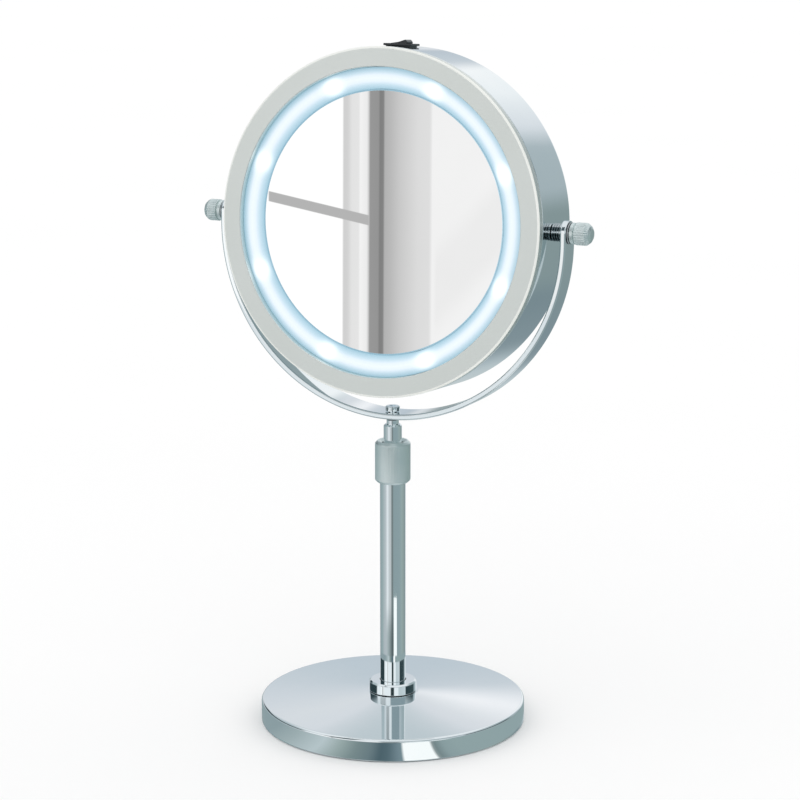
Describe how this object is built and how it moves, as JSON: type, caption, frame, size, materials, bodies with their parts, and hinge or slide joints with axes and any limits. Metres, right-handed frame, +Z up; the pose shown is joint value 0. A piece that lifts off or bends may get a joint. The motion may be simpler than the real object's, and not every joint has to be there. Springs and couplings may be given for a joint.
{
  "type": "lighted vanity mirror",
  "caption": "Round lighted vanity mirror in a chromed drum, held by a U-shaped bow on a telescopic post with a knurled clamp and a weighted round base.",
  "frame": {"origin": "centre of the underside of the base, on the surface it stands on", "axes": "+Z up along the post, -Y the way the mirror faces, +X to the right of someone standing in front of the mirror"},
  "size_m": [0.2118, 0.1354, 0.3472],
  "materials": {
    "polished_chrome": "polished chrome plate",
    "satin_chrome": "satin chrome plate, straight knurl",
    "satin_ring": "fine satin silver",
    "plain_steel": "zinc plated steel",
    "brass": "machined brass",
    "cast_iron": "painted casting",
    "rubber": "soft foam rubber",
    "black_plastic": "moulded, fine texture",
    "door_plastic": "moulded, silver tinted",
    "white_plastic": "moulded, plain",
    "frosted_light": "frosted, lit from behind, cool white",
    "mirror": "silvered glass",
    "lamp_board": "white solder mask",
    "lamp": "cool white lamp",
    "cell": "plain printed jacket",
    "red_lead": "flexible insulation",
    "black_lead": "flexible insulation"
  },
  "bodies": {
    "base": {"base_shell": "polished_chrome", "base_weight": "cast_iron", "base_pad": "rubber", "base_bolt": "plain_steel", "base_washer": "plain_steel", "foot_collar": "polished_chrome", "outer_tube": "polished_chrome", "tube_plug": "brass", "clamp_ring": "white_plastic"},
    "collar": {"clamp_collar": "satin_chrome"},
    "rod": {"inner_rod": "polished_chrome", "rod_guide": "white_plastic", "swivel_washer": "black_plastic", "bow_screw": "polished_chrome"},
    "bow": {"bow": "polished_chrome"},
    "head": {"drum_housing": "polished_chrome", "front_bezel": "satin_ring", "light_ring": "frosted_light", "mirror_glass": "mirror", "carrier_plate": "white_plastic", "carrier_screw_1": "plain_steel", "carrier_screw_2": "plain_steel", "carrier_screw_3": "plain_steel", "lamp_board": "lamp_board", "battery_box": "white_plastic", "contact_plate_upper": "plain_steel", "contact_plate_lower": "plain_steel", "switch_body": "black_plastic", "lead_battery_switch": "red_lead", "lead_switch_board": "red_lead", "lead_battery_board": "black_lead", "lamp_1": "lamp", "lamp_2": "lamp", "lamp_3": "lamp", "lamp_4": "lamp", "lamp_5": "lamp", "lamp_6": "lamp", "lamp_7": "lamp", "lamp_8": "lamp", "cell_1": "cell", "contact_spring_1": "plain_steel", "cell_2": "cell", "contact_spring_2": "plain_steel", "cell_3": "cell", "contact_spring_3": "plain_steel", "pivot_bolt_left": "plain_steel", "pivot_spacer_left": "polished_chrome", "pivot_washer_left": "plain_steel", "pivot_bolt_right": "plain_steel", "pivot_spacer_right": "polished_chrome", "pivot_washer_right": "plain_steel"},
    "rocker": {"rocker": "black_plastic"},
    "battery_door": {"battery_door": "door_plastic"},
    "knob_left": {"pivot_knob_left": "satin_chrome"},
    "knob_right": {"pivot_knob_right": "satin_chrome"}
  },
  "joints": [
    {"name": "collar_turn", "type": "hinge", "parent": "base", "child": "collar", "pos_m": [0, 0, 0.136], "axis": [0, 0, 1], "range_deg": [0, 180]},
    {"name": "mast_slide", "type": "slide", "parent": "base", "child": "rod", "axis": [0, 0, 1], "range_m": [0, 0.08]},
    {"name": "bow_swivel", "type": "hinge", "parent": "rod", "child": "bow", "pos_m": [0, 0, 0.16], "axis": [0, 0, 1], "continuous": true},
    {"name": "head_tilt", "type": "hinge", "parent": "bow", "child": "head", "pos_m": [0, 0, 0.2581], "axis": [1, 0, 0], "continuous": true},
    {"name": "rocker_press", "type": "hinge", "parent": "head", "child": "rocker", "pos_m": [0, 0.01015, 0.34372], "axis": [0, 0.9979, -0.0645], "range_deg": [0, 16]},
    {"name": "battery_door_open", "type": "hinge", "parent": "head", "child": "battery_door", "pos_m": [0, 0.01963, 0.22927], "axis": [-1, 0, 0], "range_deg": [0, 85]},
    {"name": "knob_left_turn", "type": "hinge", "parent": "head", "child": "knob_left", "pos_m": [-0.1007, 0, 0.2581], "axis": [-1, 0, 0], "range_deg": [0, 360]},
    {"name": "knob_right_turn", "type": "hinge", "parent": "head", "child": "knob_right", "pos_m": [0.1007, 0, 0.2581], "axis": [1, 0, 0], "range_deg": [0, 360]}
  ]
}
